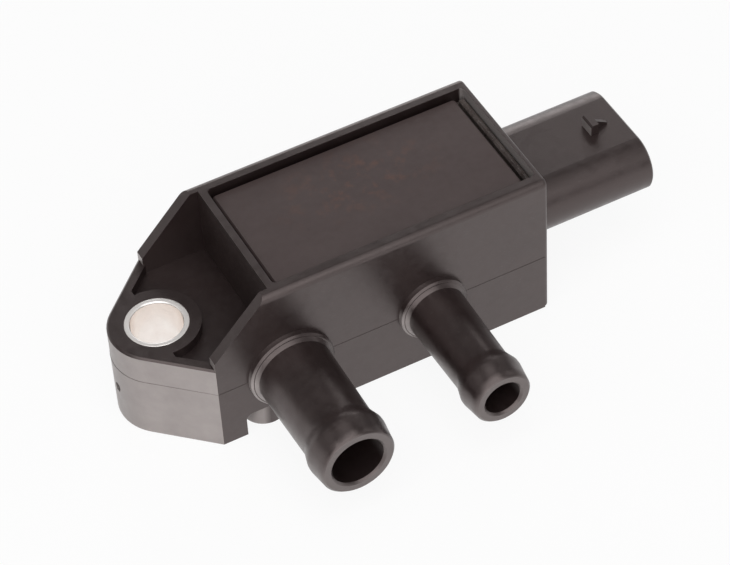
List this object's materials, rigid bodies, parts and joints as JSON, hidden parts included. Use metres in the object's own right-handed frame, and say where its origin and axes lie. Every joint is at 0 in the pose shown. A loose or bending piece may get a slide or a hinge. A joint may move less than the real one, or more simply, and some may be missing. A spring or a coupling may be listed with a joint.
{
  "type": "dpf differential pressure sensor",
  "caption": "Exhaust filter differential pressure sensor: moulded housing with screw flange, two hose nipples, glued lid and oval plug socket.",
  "frame": {"origin": "axis of the screw hole in the flange, at the mounting face", "axes": "+X from the flange to the plug end, -Y the way the hose nipples point, +Z away from the mounting face"},
  "size_m": [0.0714, 0.0394, 0.022],
  "materials": {
    "housing_plastic": "fine moulded grain",
    "sleeve_metal": "bright turned",
    "terminal_metal": "tin plated",
    "lid_plastic": "fine moulded grain",
    "adhesive": "cured silicone",
    "board_ceramic": "fired matt",
    "conductor_metal": "printed and fired",
    "pedestal_glass": "ground",
    "die_silicon": "polished",
    "gold_wire": "bright",
    "dam_plastic": "moulded",
    "clear_gel": "soft clear",
    "aluminium_wire": "bright",
    "chip_plastic": "moulded",
    "lead_metal": "tin plated",
    "capacitor_ceramic": "fired",
    "resistor_ceramic": "glazed"
  },
  "bodies": {
    "root": {"housing": "housing_plastic", "compression_sleeve": "sleeve_metal", "terminal_supply": "terminal_metal", "terminal_signal": "terminal_metal", "terminal_ground": "terminal_metal", "cover_lid": "lid_plastic", "lid_adhesive": "adhesive", "circuit_board": "board_ceramic", "board_adhesive": "adhesive", "printed_conductors": "conductor_metal", "glass_pedestal": "pedestal_glass", "sensing_die": "die_silicon", "die_bond_wires": "gold_wire", "gel_dam": "dam_plastic", "protective_gel": "clear_gel", "terminal_bond_wires": "aluminium_wire", "signal_chip": "chip_plastic", "chip_leads": "lead_metal", "capacitor_supply": "capacitor_ceramic", "capacitor_signal": "capacitor_ceramic", "capacitor_ground": "capacitor_ceramic", "capacitor_chip": "capacitor_ceramic", "resistor_bridge": "resistor_ceramic", "resistor_output": "resistor_ceramic"}
  },
  "joints": []
}
